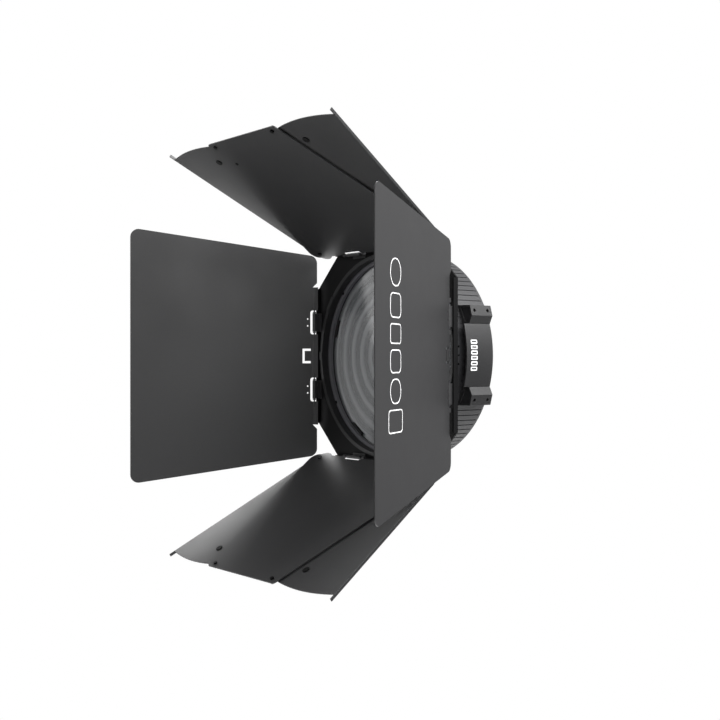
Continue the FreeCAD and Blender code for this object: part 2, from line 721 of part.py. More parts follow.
def wing(name, place, side):
    """One wing with its bent-up outer lip and its pivot hole."""
    body = new_body("wing_blank", place)
    level = size("leaf_sheet") + size("wing_gap") + WING_PLAY
    edges, edge_start, run = wing_outline(side)
    sketch = sketch_on(body, "XY_Plane", level)
    for edge in edges:
        sketch.addGeometry(edge, False)
    circle(sketch, size("pivot_across") * side, size("pivot_along") - AXIS_SHIFT,
           size("pivot_radius") + size("pivot_clearance"))
    pad(body, sketch, "wing_sheet")
    tip = math.sqrt(size("wing_tip_arc") ** 2 - size("wing_ear") ** 2)
    inward = V(-run.y, run.x, 0) * size("wing_sheet")
    strip = [edge_start + run * 25.0, edge_start + run * tip,
             edge_start + run * tip + inward, edge_start + run * 25.0 + inward]
    lip = sketch_on(body, "XY_Plane", level)
    for index in range(4):
        start, end = strip[index], strip[(index + 1) % 4]
        lip.addGeometry(Part.LineSegment(V(start.x * side, start.y, 0),
                                         V(end.x * side, end.y, 0)), False)
    pad(body, lip, size("wing_sheet") + size("wing_lip"))
    finish(body, f"wing_{name}")
    button = cylinder(5.2, 1.2, place.multVec(V(112.0 * side, 257.3, level)),
                      place.Rotation.multVec(V(0, 0, -1)))
    finish(button, f"glide_button_{name}")


def flap(name, wing_names):
    """The top or bottom door: a tapered leaf with a wing swinging behind each long edge."""
    place = door_place(SIDES[name], size("flap_angle"))
    start = size("flap_start") - AXIS_SHIFT
    end = size("flap_length") - AXIS_SHIFT
    body = sheet_body("flap_blank", rounded([
        (-162.3, start, 14.0), (162.3, start, 14.0), (86.0, end, 6.0), (-86.0, end, 6.0)]), place)
    cut_windows(body, start)
    add_knuckles(body)
    outward = place.Rotation.multVec(V(0, 0, 1))
    wing_top = size("leaf_sheet") + size("wing_gap") + size("wing_sheet") + WING_PLAY

    def at(x, y, z):
        return place.multVec(V(x, y, z))

    pivots = []
    pivot_holes = []
    guides = []
    guide_holes = []
    pivot_y = size("pivot_along") - AXIS_SHIFT
    guide_radius = size("wing_arc") + 0.4 + 2.0
    guide_x = 74.0
    guide_y = pivot_y + math.sqrt(guide_radius ** 2 - (size("pivot_across") - guide_x) ** 2)
    for side in (1, -1):
        x = size("pivot_across") * side
        shank = cylinder("pivot_radius", wing_top + 1.3, at(x, pivot_y, 0), outward)
        inner_head = cylinder(4.0, 1.5, at(x, pivot_y, -1.5), outward)
        outer_head = cylinder(5.0, 1.2, at(x, pivot_y, wing_top + WING_PLAY), outward)
        spacer = cylinder(6.0, size("wing_gap"), at(x, pivot_y, size("leaf_sheet")), outward)
        pivots.append(fuse(fuse(fuse(shank, inner_head), outer_head), spacer))
        pivot_holes.append(cylinder("pivot_radius", 6.0, at(x, pivot_y, -1.0), outward))
        x = guide_x * side
        shank = cylinder(2.0, wing_top + 1.2, at(x, guide_y, 0), outward)
        head = cylinder(3.0, 2.0, at(x, guide_y, -2.0), outward)
        washer = cylinder(4.5, 1.2, at(x, guide_y, wing_top + 0.3), outward)
        guides.append(fuse(fuse(shank, head), washer))
        guide_holes.append(cylinder(2.0, 6.0, at(x, guide_y, -1.0), outward))
    finish(group(pivots), f"wing_pivots_{name}")
    finish(group(guides), f"wing_guides_{name}")
    for side, wing_name in zip((1, -1), wing_names):
        wing(wing_name, place, side)
    tools = [hinge_pins(name, place), group(pivot_holes), group(guide_holes)]
    if name == "top":
        plug, plug_hole = fasteners([(at(72.2, 248.3, 0.0), outward)], 2.6, 0.7, 1.5, 1.5)
        finish(plug, "top_plug_rivet")
        tools.append(plug_hole)
    finish(bored(body, tools), f"leaf_{name}")


side_door("right")
side_door("left")
flap("top", ("top_left", "top_right"))
flap("bottom", ("bottom_right", "bottom_left"))

# --- checks and files -------------------------------------------------------------------------
doc.recompute()
for item in doc.Objects:
    if "Invalid" in item.State or "Error" in item.State:
        raise RuntimeError(f"{item.Name} ({item.Label}) failed: {item.State}")
for part in nodes:
    shape = part.Shape
    if shape.isNull() or not shape.isValid():
        raise RuntimeError(part.Label + " has no valid shape")
    shape.exportStep(f"parts/{part.Label}.step")
    print(f"{part.Label:26s} solids {len(shape.Solids):2d} volume {shape.Volume:12.1f}")
print(len(nodes), "sub-parts")
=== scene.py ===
# %% [markdown]
# Barn doors on a ribbed lens housing. The CAD frame holds every size and joint. This file
# gives the parts their finish: it softens the cut edges of sheets and castings, makes the
# lens, the screw and rivet heads and the printed marks, and sets the light and the camera.

# %% Load the frame
import json
import math

import bmesh
import bpy
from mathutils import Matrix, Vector


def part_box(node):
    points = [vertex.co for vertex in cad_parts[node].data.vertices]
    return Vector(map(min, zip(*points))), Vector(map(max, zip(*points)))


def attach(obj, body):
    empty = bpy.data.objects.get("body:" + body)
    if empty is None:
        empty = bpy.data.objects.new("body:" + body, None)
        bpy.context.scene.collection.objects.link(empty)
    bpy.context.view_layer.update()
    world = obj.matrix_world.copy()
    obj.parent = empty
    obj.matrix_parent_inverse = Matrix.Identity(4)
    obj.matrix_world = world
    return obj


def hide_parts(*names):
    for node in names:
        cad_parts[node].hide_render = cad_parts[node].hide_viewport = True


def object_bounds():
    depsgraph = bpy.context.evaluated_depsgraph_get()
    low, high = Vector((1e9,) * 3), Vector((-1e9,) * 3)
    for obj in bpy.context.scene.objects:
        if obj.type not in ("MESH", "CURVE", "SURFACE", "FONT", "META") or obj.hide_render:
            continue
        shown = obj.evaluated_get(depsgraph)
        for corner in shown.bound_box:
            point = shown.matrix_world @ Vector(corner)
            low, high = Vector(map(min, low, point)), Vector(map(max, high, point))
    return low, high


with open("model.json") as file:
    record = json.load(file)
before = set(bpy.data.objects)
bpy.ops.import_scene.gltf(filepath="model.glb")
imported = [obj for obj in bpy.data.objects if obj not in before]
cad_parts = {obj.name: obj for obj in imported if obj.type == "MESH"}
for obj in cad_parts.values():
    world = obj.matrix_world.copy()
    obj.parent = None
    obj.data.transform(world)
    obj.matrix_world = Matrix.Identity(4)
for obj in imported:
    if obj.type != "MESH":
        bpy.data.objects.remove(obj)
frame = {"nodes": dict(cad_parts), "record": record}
CAD_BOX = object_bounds()
NODES = frame["nodes"]
MM = 0.001

# %% [markdown]
# Every node belongs to one body of the record. A piece that replaces or joins a node rides
# on that same body, so it is looked up here once.

# %% Look up the body and the slot of a node
BODY_OF = {}
for body_name, members in frame["record"]["behaviour"]["bodies"].items():
    for member in members:
        BODY_OF[member] = body_name
SLOT_OF = {row["node"]: row["material_slot"] for row in frame["record"]["subparts"]}
print("slots", sorted(set(SLOT_OF.values())))

# %% [markdown]
# Colours are written as the hex values a painter would read off a screen. Blender's shaders
# want linear light, so one function converts them.

# %% Colours


def paint(hex_code):
    """sRGB hex to the linear RGBA a shader socket wants."""
    channels = [int(hex_code[i:i + 2], 16) / 255 for i in (1, 3, 5)]
    linear = [c / 12.92 if c <= 0.04045 else ((c + 0.055) / 1.055) ** 2.4 for c in channels]
    return (*linear, 1.0)


# %% [markdown]
# A material or a Geometry Nodes tree is a set of nodes with values and wires. One helper adds
# a node, sets its properties, and fills each input with a number or a wire from another node.
# Three more start a material, find its shader and give the scale of a wave of rings.

# %% Node helpers
WAVE_RATE = 20      # a wave texture multiplies the distance by this


def add(tree, kind, inputs=None, **properties):
    """A node of a kind; an input is a value, or an output socket that is wired in."""
    node = tree.nodes.new(kind)
    for name, value in properties.items():
        setattr(node, name, value)
    for key, value in (inputs or {}).items():
        if isinstance(value, bpy.types.NodeSocket):
            tree.links.new(value, node.inputs[key])
        else:
            node.inputs[key].default_value = value
    return node


def new_material(name):
    """A material with nodes."""
    material = bpy.data.materials.new(name)
    material.use_nodes = True
    return material


def shader_of(material):
    """The Principled shader of a material."""
    return material.node_tree.nodes["Principled BSDF"]


def ring_scale(radian_mm):
    """Scale of a wave of rings that turns one radian in this many millimetres."""
    return 1 / (radian_mm * MM) / WAVE_RATE


# %% [markdown]
# Powder coat is plastic powder melted on metal. It dries as a skin with fine, shallow
# pimples under a millimetre apart, and a satin sheen that varies a little over a large
# sheet. The pimples are a noise bump, and a slow noise moves the roughness.

# %% Powder coat
PATCH_MM = 120          # size of the patches in which the sheen drifts
SHEEN_DRIFT = 0.04      # change of roughness either way
FLAT_SPECULAR = 0.15    # for surfaces that hardly shine


def powder_coat(name, colour, roughness, grain_mm, depth_mm, worn="#3c3c3d"):
    """Satin powder coat: shallow pimples, uneven sheen and lighter specks that follow the
    pimples.
    """
    material = new_material(name)
    tree = material.node_tree
    shader = shader_of(material)
    place = add(tree, "ShaderNodeTexCoord").outputs["Object"]
    pimples = add(tree, "ShaderNodeTexNoise",
                  {"Vector": place, "Scale": 1 / (grain_mm * MM), "Detail": 2.0})
    patches = add(tree, "ShaderNodeTexNoise",
                  {"Vector": place, "Scale": 1 / (PATCH_MM * MM), "Detail": 3.0})
    sheen = add(tree, "ShaderNodeMapRange",
                {"Value": patches.outputs["Fac"], "From Min": 0.3, "From Max": 0.7,
                 "To Min": roughness - SHEEN_DRIFT, "To Max": roughness + SHEEN_DRIFT})
    bump = add(tree, "ShaderNodeBump",
               {"Height": pimples.outputs["Fac"], "Strength": 0.5, "Distance": depth_mm * MM})
    speck = add(tree, "ShaderNodeMapRange",
                {"Value": pimples.outputs["Fac"], "From Min": 0.35, "From Max": 0.75,
                 "To Min": 0.0, "To Max": 0.35})
    tone = add(tree, "ShaderNodeMix",
               {"Factor": speck.outputs["Result"], "A": paint(colour), "B": paint(worn)},
               data_type="RGBA")
    tree.links.new(tone.outputs["Result"], shader.inputs["Base Color"])
    tree.links.new(sheen.outputs["Result"], shader.inputs["Roughness"])
    tree.links.new(bump.outputs["Normal"], shader.inputs["Normal"])
    return material


SHEET_COAT = powder_coat("satin_black_powder_coat_on_sheet", "#232324", 0.42, 0.9, 0.05)
CASTING_COAT = powder_coat("fine_black_powder_coat_on_casting", "#19191a", 0.46, 0.7, 0.05)
DRUM_COAT = powder_coat("grey_black_powder_coat_on_drum", "#242426", 0.44, 0.7, 0.05)
# The pan is black powder coat like the doors, but its colour is darker and its shine lower:
# painted shade for the recess inside the frame.
PAN_COAT_WITH_PAINTED_SHADE = powder_coat("black_powder_coat_on_pan_with_painted_shade", "#060607", 0.6, 0.8, 0.03, "#0c0c0d")
shader_of(PAN_COAT_WITH_PAINTED_SHADE).inputs["Specular IOR Level"].default_value = FLAT_SPECULAR

# %% [markdown]
# Turned rings are aluminium, dyed black in an anodising bath. The tool leaves fine circles
# round the beam axis, which catch the light as a soft streak. A wave of rings on the distance
# from the axis draws them, coarser than real so that they show. The clamp ring of the lens and
# the light baffle are grey.

# %% Anodised rings


def anodised(name, colour, roughness, radian_mm):
    """Anodised aluminium with turning marks round the beam axis."""
    material = new_material(name)
    tree = material.node_tree
    shader = shader_of(material)
    place = add(tree, "ShaderNodeTexCoord").outputs["Object"]
    circles = add(tree, "ShaderNodeTexWave",
                  {"Vector": place, "Scale": ring_scale(radian_mm), "Distortion": 0.3},
                  wave_type="RINGS", rings_direction="Y")
    bump = add(tree, "ShaderNodeBump",
               {"Height": circles.outputs["Fac"], "Strength": 0.25, "Distance": 0.02 * MM})
    shader.inputs["Base Color"].default_value = paint(colour)
    shader.inputs["Metallic"].default_value = 0.3
    shader.inputs["Roughness"].default_value = roughness
    tree.links.new(bump.outputs["Normal"], shader.inputs["Normal"])
    return material


RING_FINISH = anodised("black_anodised_turned_aluminium", "#242425", 0.45, 0.4)
CLAMP_FINISH = anodised("grey_anodised_turned_aluminium", "#6c6c70", 0.42, 0.4)
BAFFLE_FINISH = anodised("grey_anodised_spun_aluminium", "#55575a", 0.5, 0.8)

# %% [markdown]
# Screws and rivets are steel with a black oxide skin, a little oily and uneven. The pins are
# zinc plated and a little glossier. Both are metals, so their colour is the colour of the
# reflection, and a fine noise breaks the gloss. Rubber, nylon and ink have the same uneven
# gloss without the metal.

# %% Steels, rubber, nylon and ink
HANDLING_MM = 1.5       # size of the marks that break the gloss
GLOSS_DRIFT = 0.08      # change of roughness either way


def handled_finish(name, colour, roughness, metallic=1.0):
    """A small metal, rubber or plastic part whose gloss is broken by fine handling marks."""
    material = new_material(name)
    tree = material.node_tree
    shader = shader_of(material)
    place = add(tree, "ShaderNodeTexCoord").outputs["Object"]
    marks = add(tree, "ShaderNodeTexNoise", {"Vector": place, "Scale": 1 / (HANDLING_MM * MM)})
    gloss = add(tree, "ShaderNodeMapRange",
                {"Value": marks.outputs["Fac"], "To Min": roughness - GLOSS_DRIFT,
                 "To Max": roughness + GLOSS_DRIFT})
    shader.inputs["Base Color"].default_value = paint(colour)
    shader.inputs["Metallic"].default_value = metallic
    tree.links.new(gloss.outputs["Result"], shader.inputs["Roughness"])
    return material


OXIDE = handled_finish("black_oxide_steel", "#151516", 0.45)
PIN_STEEL = handled_finish("dark_zinc_plated_steel", "#4a4a4d", 0.34)
RUBBER = handled_finish("matt_black_silicone", "#0c0c0c", 0.75, metallic=0.0)
NYLON = handled_finish("moulded_black_nylon", "#040404", 0.6, metallic=0.0)
shader_of(NYLON).inputs["Specular IOR Level"].default_value = FLAT_SPECULAR
MARK_PAINT = handled_finish("white_screen_printed_ink", "#e8e8e8", 0.55, metallic=0.0)

# %% [markdown]
# The lens is pressed borosilicate glass. It is clear, but its steps scatter what is behind
# them, so it reads as grey with soft bands. Part transmission with some roughness, over a grey
# base colour, gives the grey. The broad pale bands are painted reflections of the ring facets:
# colour, laid on in rings round the axis.

# %% Lens glass
# The pale bands are painted reflections of the ring facets.
REFLECTION_BAND_MM = 22.9      # from one pale band to the next


def glass_with_painted_reflection_bands(name, dark, pale):
    """Half-clear glass with soft pale bands round the beam axis: painted reflections of the ring
    facets.
    """
    material = new_material(name)
    tree = material.node_tree
    shader = shader_of(material)
    place = add(tree, "ShaderNodeTexCoord").outputs["Object"]
    # Painted reflections: pale rings of colour round the axis stand in for light off the ring
    # facets.
    bands = add(tree, "ShaderNodeTexWave",
                {"Vector": place, "Scale": ring_scale(REFLECTION_BAND_MM / (2 * math.pi)),
                 "Distortion": 0.15}, wave_type="RINGS", rings_direction="Y")
    share = add(tree, "ShaderNodeMapRange",
                {"Value": bands.outputs["Fac"], "From Min": 0.35, "From Max": 1.0})
    tone = add(tree, "ShaderNodeMix",
               {"Factor": share.outputs["Result"], "A": paint(dark), "B": paint(pale)},
               data_type="RGBA")
    tree.links.new(tone.outputs["Result"], shader.inputs["Base Color"])
    shader.inputs["Transmission Weight"].default_value = 0.55
    shader.inputs["Roughness"].default_value = 0.15
    shader.inputs["IOR"].default_value = 1.47
    shader.inputs["Coat Weight"].default_value = 0.4
    shader.inputs["Coat Roughness"].default_value = 0.08
    return material


LENS_GLASS = glass_with_painted_reflection_bands("pressed_glass_with_painted_reflection_bands", "#7a7d80", "#adb0b3")

# %% [markdown]
# Each slot of the record has one finish. Four nodes differ from the rest of their slot: the
# pan is the doors' black made darker still, as painted shade for the recess inside the frame,
# the lens clips are rubber, and the light baffle and the lens's clamp ring are grey.

# %% Give every CAD node its finish
FINISH = {
    "black_sheet": SHEET_COAT, "black_casting": CASTING_COAT, "drum_coat": DRUM_COAT,
    "black_screw": OXIDE, "pin_steel": PIN_STEEL, "lens_glass": LENS_GLASS,
    "black_rubber": RUBBER, "machined_ring": RING_FINISH, "glide_plastic": NYLON,
}
# The pan's darker coat is painted shade for the recess inside the frame.
SPECIAL = {"frame_pan": PAN_COAT_WITH_PAINTED_SHADE, "light_baffle": BAFFLE_FINISH, "lens_clips": RUBBER,
           "lens_retaining_ring": CLAMP_FINISH}


def finish_of(node):
    """The material of a node."""
    return SPECIAL.get(node, FINISH[SLOT_OF[node]])


for node_name, item in NODES.items():
    item.data.materials.clear()
    item.data.materials.append(finish_of(node_name))

# %% [markdown]
# A cut or cast edge is never razor sharp, least of all under a coat of powder: a thin round
# line of light runs along it. A CAD mesh is loose triangles, so a merged copy is made, its
# flat faces are joined, and a Bevel modifier rounds every hard edge by a fraction of a
# millimetre. The copy then stands in for the node.

# %% Merge and soften
WELD_MM = 0.002                      # corners closer than this are one
FLAT_ANGLE = math.radians(0.5)       # faces that meet at less than this are one
CORNER_ANGLE = math.radians(40)      # an edge that turns more than this is rounded
SMOOTH_ANGLE = math.radians(35)      # an edge that turns less than this is shaded smooth


def merged_mesh(node):
    """A welded copy of a CAD node's mesh."""
    mesh = NODES[node].data.copy()
    work = bmesh.new()
    work.from_mesh(mesh)
    bmesh.ops.remove_doubles(work, verts=work.verts, dist=WELD_MM * MM)
    bmesh.ops.dissolve_limit(work, angle_limit=FLAT_ANGLE, verts=work.verts,
                             edges=work.edges)
    work.to_mesh(mesh)
    work.free()
    return mesh


def settle(piece, body, replaced=()):
    """Hide the nodes a finished piece stands for, and hang the piece on its body."""
    if replaced:
        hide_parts(*replaced)
    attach(piece, body)


def apply_modifiers(piece):
    """Turn a piece's modifiers into plain mesh."""
    bpy.context.view_layer.update()
    depsgraph = bpy.context.evaluated_depsgraph_get()
    mesh = bpy.data.meshes.new_from_object(piece.evaluated_get(depsgraph))
    piece.modifiers.clear()
    piece.data = mesh


def new_piece(name, mesh):
    """An object at the origin that holds a mesh."""
    piece = bpy.data.objects.new(name, mesh)
    bpy.context.scene.collection.objects.link(piece)
    return piece


def smooth(mesh):
    """Shade a mesh smooth, with its real corners kept sharp."""
    for face in mesh.polygons:
        face.use_smooth = True
    mesh.set_sharp_from_angle(angle=SMOOTH_ANGLE)


def soften(node, width_mm):
    """Put a copy with rounded edges in the place of a node."""
    piece = new_piece(node + "_eased", merged_mesh(node))
    bevel = piece.modifiers.new("ease", "BEVEL")
    bevel.width = width_mm * MM
    bevel.segments = 2
    bevel.limit_method = "ANGLE"
    bevel.angle_limit = CORNER_ANGLE
    bevel.use_clamp_overlap = True
    apply_modifiers(piece)
    smooth(piece.data)
    # Large faces keep their own normal, so a flat sheet shades flat up to its rounded edge.
    weight = piece.modifiers.new("weight", "WEIGHTED_NORMAL")
    weight.mode = "FACE_AREA"
    weight.weight = 80
    weight.keep_sharp = True
    apply_modifiers(piece)
    settle(piece, BODY_OF[node], (node,))


SHEET_EASE = 0.35       # radii of the rounded edges, in millimetres
CASTING_EASE = 0.8
for node_name in sorted(NODES):
    if node_name.startswith(("door_", "leaf_", "wing_top", "wing_bottom")):
        soften(node_name, SHEET_EASE)
    elif node_name.startswith(("side_guard", "guard_blocks")):
        soften(node_name, CASTING_EASE)
    elif node_name.startswith(("hinge_brackets", "frame_pan", "front_ring", "rotation_collar")):
        if "screws" not in node_name:
            soften(node_name, SHEET_EASE)

# %% [markdown]
# The lens is a disc of fine rings, each a slope and a riser, like a slice of a thick lens
# folded flat. Its shape follows a rule, so Geometry Nodes make it: a grid is bent into polar
# form, with two columns for each ring, one low and one high.

# %% Lens rings by rule
lens_low, lens_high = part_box("fresnel_lens")
LENS_RADIUS = (lens_high[0] - lens_low[0]) / 2
LENS_FRONT = lens_low[1]
LENS_BACK = lens_high[1]
RIM_GAP = 0.4 * MM          # between the glass and its seat
FACE_GAP = 0.05 * MM        # the steps start this far behind the CAD face
RING_DEPTH = 3.4 * MM
RING_COUNT = 15
AROUND = 144
RISER_SHARE = 0.96          # the high column stands this far out to the next ring
CENTRE_SHARE = 0.15         # depth of the innermost ring, as a share of the full depth


def lens_tree():
    """Polar grid: X steps outwards two columns a ring, Y goes round the axis."""
    tree = bpy.data.node_groups.new("lens_rings", "GeometryNodeTree")
    tree.interface.new_socket("Radius", in_out="INPUT", socket_type="NodeSocketFloat")
    tree.interface.new_socket("Ring depth", in_out="INPUT", socket_type="NodeSocketFloat")
    tree.interface.new_socket("Rings", in_out="INPUT", socket_type="NodeSocketInt")
    tree.interface.new_socket("Front", in_out="INPUT", socket_type="NodeSocketFloat")
    tree.interface.new_socket("Geometry", in_out="OUTPUT", socket_type="NodeSocketGeometry")
    given = tree.nodes.new("NodeGroupInput")

    def calc(operation, first, second=0.0):
        return add(tree, "ShaderNodeMath", {0: first, 1: second},
                   operation=operation).outputs[0]

    columns = calc("MULTIPLY", given.outputs["Rings"], 2.0)
    grid = add(tree, "GeometryNodeMeshGrid",
               {"Size X": 1.0, "Size Y": 1.0, "Vertices X": columns,
                "Vertices Y": AROUND + 1})
    index = tree.nodes.new("GeometryNodeInputIndex").outputs[0]
    step = calc("FLOOR", calc("DIVIDE", index, float(AROUND + 1)))
    turn = calc("MODULO", index, float(AROUND + 1))
    ring = calc("FLOOR", calc("DIVIDE", step, 2.0))
    high = calc("MODULO", step, 2.0)
    pitch = calc("DIVIDE", given.outputs["Radius"], given.outputs["Rings"])
    # The riser is nearly upright.
    reach = calc("MULTIPLY", pitch, calc("ADD", ring, calc("MULTIPLY", high, RISER_SHARE)))
    angle = calc("MULTIPLY", turn, 2 * math.pi / AROUND)
    # Rings near the rim are deeper, as on a real lens.
    share = calc("DIVIDE", ring, given.outputs["Rings"])
    depth = calc("MULTIPLY", given.outputs["Ring depth"], calc("ADD", share, CENTRE_SHARE))
    along = calc("ADD", given.outputs["Front"],
                 calc("MULTIPLY", depth, calc("SUBTRACT", 1.0, high)))
    place = add(tree, "ShaderNodeCombineXYZ",
                {"X": calc("MULTIPLY", reach, calc("COSINE", angle)), "Y": along,
                 "Z": calc("MULTIPLY", reach, calc("SINE", angle))})
    bent = add(tree, "GeometryNodeSetPosition",
               {"Geometry": grid.outputs["Mesh"], "Position": place.outputs[0]})
    welded = add(tree, "GeometryNodeMergeByDistance",
                 {"Geometry": bent.outputs[0], "Distance": 0.01 * MM})
    real = add(tree, "GeometryNodeRealizeInstances", {"Geometry": welded.outputs[0]})
    coated = add(tree, "GeometryNodeSetMaterial",
                 {"Geometry": real.outputs[0], "Material": LENS_GLASS})
    out = tree.nodes.new("NodeGroupOutput")
    tree.links.new(coated.outputs[0], out.inputs["Geometry"])
    return tree


def set_inputs(modifier, values):
    """Fill a Geometry Nodes modifier's inputs by their identifiers."""
    for socket in modifier.node_group.interface.items_tree:
        if socket.in_out == "INPUT" and socket.name in values:
            modifier[socket.identifier] = values[socket.name]


rings = new_piece("lens_rings", bpy.data.meshes.new("lens_rings"))
maker = rings.modifiers.new("rule", "NODES")
maker.node_group = lens_tree()
set_inputs(maker, {"Radius": LENS_RADIUS - RIM_GAP, "Ring depth": RING_DEPTH,
                   "Rings": RING_COUNT, "Front": LENS_FRONT + FACE_GAP})
apply_modifiers(rings)

# %% [markdown]
# The steps are an open skin. A flat back and a rim close it into one solid, because glass
# bends light only as a closed body.

# %% Close the lens
work = bmesh.new()
work.from_mesh(rings.data)
edge_loop = [edge for edge in work.edges if edge.is_boundary]
wall = bmesh.ops.extrude_edge_only(work, edges=edge_loop)["geom"]
back_points = [item for item in wall if isinstance(item, bmesh.types.BMVert)]
for point in back_points:
    point.co.y = LENS_BACK
back_edges = [item for item in wall if isinstance(item, bmesh.types.BMEdge)]
bmesh.ops.contextual_create(work, geom=back_edges)
bmesh.ops.recalc_face_normals(work, faces=work.faces)
work.to_mesh(rings.data)
work.free()
rings.data.materials.clear()
rings.data.materials.append(LENS_GLASS)
settle(rings, "housing", ("fresnel_lens",))
print("lens faces", len(rings.data.polygons))

# %% [markdown]
# Screws with a hexagon socket and rivets with a domed head are the same shape many times. One
# small head is made, and Geometry Nodes put a copy on each spot, turned to face
# outwards. The spots are read from the CAD solids: the middle of each, at its outer end.

# %% Find the fasteners


def islands(node):
    """The points of each separate solid of a node."""
    mesh = merged_mesh(node)
    parent = list(range(len(mesh.vertices)))

    def root(index):
        while parent[index] != index:
            parent[index] = parent[parent[index]]
            index = parent[index]
        return index

    for edge in mesh.edges:
        parent[root(edge.vertices[0])] = root(edge.vertices[1])
    groups = {}
    for vertex in mesh.vertices:
        groups.setdefault(root(vertex.index), []).append(vertex.co.copy())
    bpy.data.meshes.remove(mesh)
    return list(groups.values())


def spots(node, outward):
    """(place, direction) of each head; outward gives the direction from the middle."""
    found = []
    for points in islands(node):
        low = Vector([min(p[i] for p in points) for i in range(3)])
        high = Vector([max(p[i] for p in points) for i in range(3)])
        middle = (low + high) / 2
        aim = outward(middle).normalized()
        centre = sum(points, Vector()) / len(points)
        reach = max(point.dot(aim) for point in points)
        found.append((centre + aim * (reach - centre.dot(aim)), aim))
    return found


# %% Shapes of the heads


def socket_head(radius_mm, height_mm, socket_mm):
    """A screw head: a chamfered cylinder with a six-sided socket. Its top is at zero."""
    work = bmesh.new()
    around = 24
    chamfer = 0.2
    # Radius and level of each row, from the foot of the head up and down into the socket.
    rows = [(radius_mm, -height_mm), (radius_mm, -chamfer), (radius_mm - chamfer, 0.0),
            (socket_mm, 0.0), (socket_mm * 0.96, -height_mm * 0.6), (0.01, -height_mm * 0.7)]
    loops = []
    for row, (radius, level) in enumerate(rows):
        loop = []
        for index in range(around):
            angle = 2 * math.pi * index / around
            reach = radius
            if row in (3, 4):
                # Flats of the socket: the distance to a hexagon's side at this angle.
                reach = radius * math.cos(math.pi / 6) / math.cos(
                    (angle % (math.pi / 3)) - math.pi / 6)
            loop.append(work.verts.new(
                (reach * MM * math.cos(angle), reach * MM * math.sin(angle), level * MM)))
        loops.append(loop)
    for lower, upper in zip(loops, loops[1:]):
        for index in range(around):
            following = (index + 1) % around
            work.faces.new((lower[index], lower[following], upper[following], upper[index]))
    work.faces.new(loops[-1])
    work.faces.new(list(reversed(loops[0])))
    mesh = bpy.data.meshes.new("head")
    work.to_mesh(mesh)
    work.free()
    return mesh


def dome_head(radius_mm, height_mm):
    """A rivet head: a low dome. Its crown is at zero."""
    work = bmesh.new()
    around = 20
    steps = 5
    loops = []
    for step in range(steps):
        lean = math.pi / 2 * step / steps
        radius = radius_mm * math.cos(lean)
        level = height_mm * (math.sin(lean) - 1)
        loops.append([work.verts.new(
            (radius * MM * math.cos(2 * math.pi * i / around),
             radius * MM * math.sin(2 * math.pi * i / around), level * MM))
            for i in range(around)])
    crown = work.verts.new((0, 0, 0))
    for lower, upper in zip(loops, loops[1:]):
        for i in range(around):
            j = (i + 1) % around
            work.faces.new((lower[i], lower[j], upper[j], upper[i]))
    for i in range(around):
        work.faces.new((loops[-1][i], loops[-1][(i + 1) % around], crown))
    work.faces.new(list(reversed(loops[0])))
    mesh = bpy.data.meshes.new("dome")
    work.to_mesh(mesh)
    work.free()
    return mesh


# %% Geometry Nodes that place a head on each spot


def placing_tree(name, head):
    """Instance a head on every point, its Z turned to the point's own direction."""
    tree = bpy.data.node_groups.new(name, "GeometryNodeTree")
    tree.interface.new_socket("Geometry", in_out="INPUT", socket_type="NodeSocketGeometry")
    tree.interface.new_socket("Head size", in_out="INPUT", socket_type="NodeSocketFloat")
    tree.interface.new_socket("Geometry", in_out="OUTPUT", socket_type="NodeSocketGeometry")
    given = tree.nodes.new("NodeGroupInput")
    shape = add(tree, "GeometryNodeObjectInfo", {"Object": head})
    aim = add(tree, "GeometryNodeInputNamedAttribute", {"Name": "aim"},
              data_type="FLOAT_VECTOR")
    turn = add(tree, "FunctionNodeAlignRotationToVector",
               {"Vector": aim.outputs["Attribute"]}, axis="Z")
    size = add(tree, "ShaderNodeCombineXYZ", {
        "X": given.outputs["Head size"], "Y": given.outputs["Head size"],
        "Z": given.outputs["Head size"]})
    placed = add(tree, "GeometryNodeInstanceOnPoints",
                 {"Points": given.outputs["Geometry"], "Instance": shape.outputs["Geometry"],
                  "Rotation": turn.outputs["Rotation"], "Scale": size.outputs[0]})
    real = add(tree, "GeometryNodeRealizeInstances", {"Geometry": placed.outputs[0]})
    coated = add(tree, "GeometryNodeSetMaterial",
                 {"Geometry": real.outputs[0], "Material": OXIDE})
    out = tree.nodes.new("NodeGroupOutput")
    tree.links.new(coated.outputs[0], out.inputs["Geometry"])
    return tree


def place_heads(name, node, outward, shape):
    """One mesh of heads in the place of a node of screws or rivets."""
    places = spots(node, outward)
    points = bpy.data.meshes.new(name + "_points")
    points.from_pydata([place for place, _ in places], [], [])
    aims = points.attributes.new("aim", "FLOAT_VECTOR", "POINT")
    for index, (_, aim) in enumerate(places):
        aims.data[index].vector = aim
    pattern = new_piece(name + "_pattern", shape)
    piece = new_piece(name, points)
    maker = piece.modifiers.new("place", "NODES")
    maker.node_group = placing_tree(name, pattern)
    set_inputs(maker, {"Head size": 1.0})
    apply_modifiers(piece)
    bpy.data.objects.remove(pattern)
    smooth(piece.data)
    settle(piece, BODY_OF[node], (node,))
    print(name, len(places), "heads")


# %% [markdown]
# The directions: the lens ring faces the front, the rear screws face the back, the side
# screws face away from the beam axis, and the guards' screws face square to the slope of their
# blocks. A head's top is flush with the end of the CAD solid, and the head takes its place.

# %% Directions on the housing
BLOCK_FALL = 4.3        # a guard block's outer face comes in by this much
BLOCK_RISE = 15.5       # over this height
SLOPE = math.atan2(BLOCK_FALL, BLOCK_RISE)


def to_front(middle):
    return Vector((0, -1, 0))


def to_back(middle):
    return Vector((0, 1, 0))


def to_side(middle):
    return Vector((middle.x, 0, middle.z))


def to_quarter(middle):
    if abs(middle.x) > abs(middle.z):
        return Vector((math.copysign(1, middle.x), 0, 0))
    return Vector((0, 0, math.copysign(1, middle.z)))


def to_slope(middle):
    return Vector((math.copysign(math.cos(SLOPE), middle.x), 0,
                   math.copysign(math.sin(SLOPE), middle.z)))


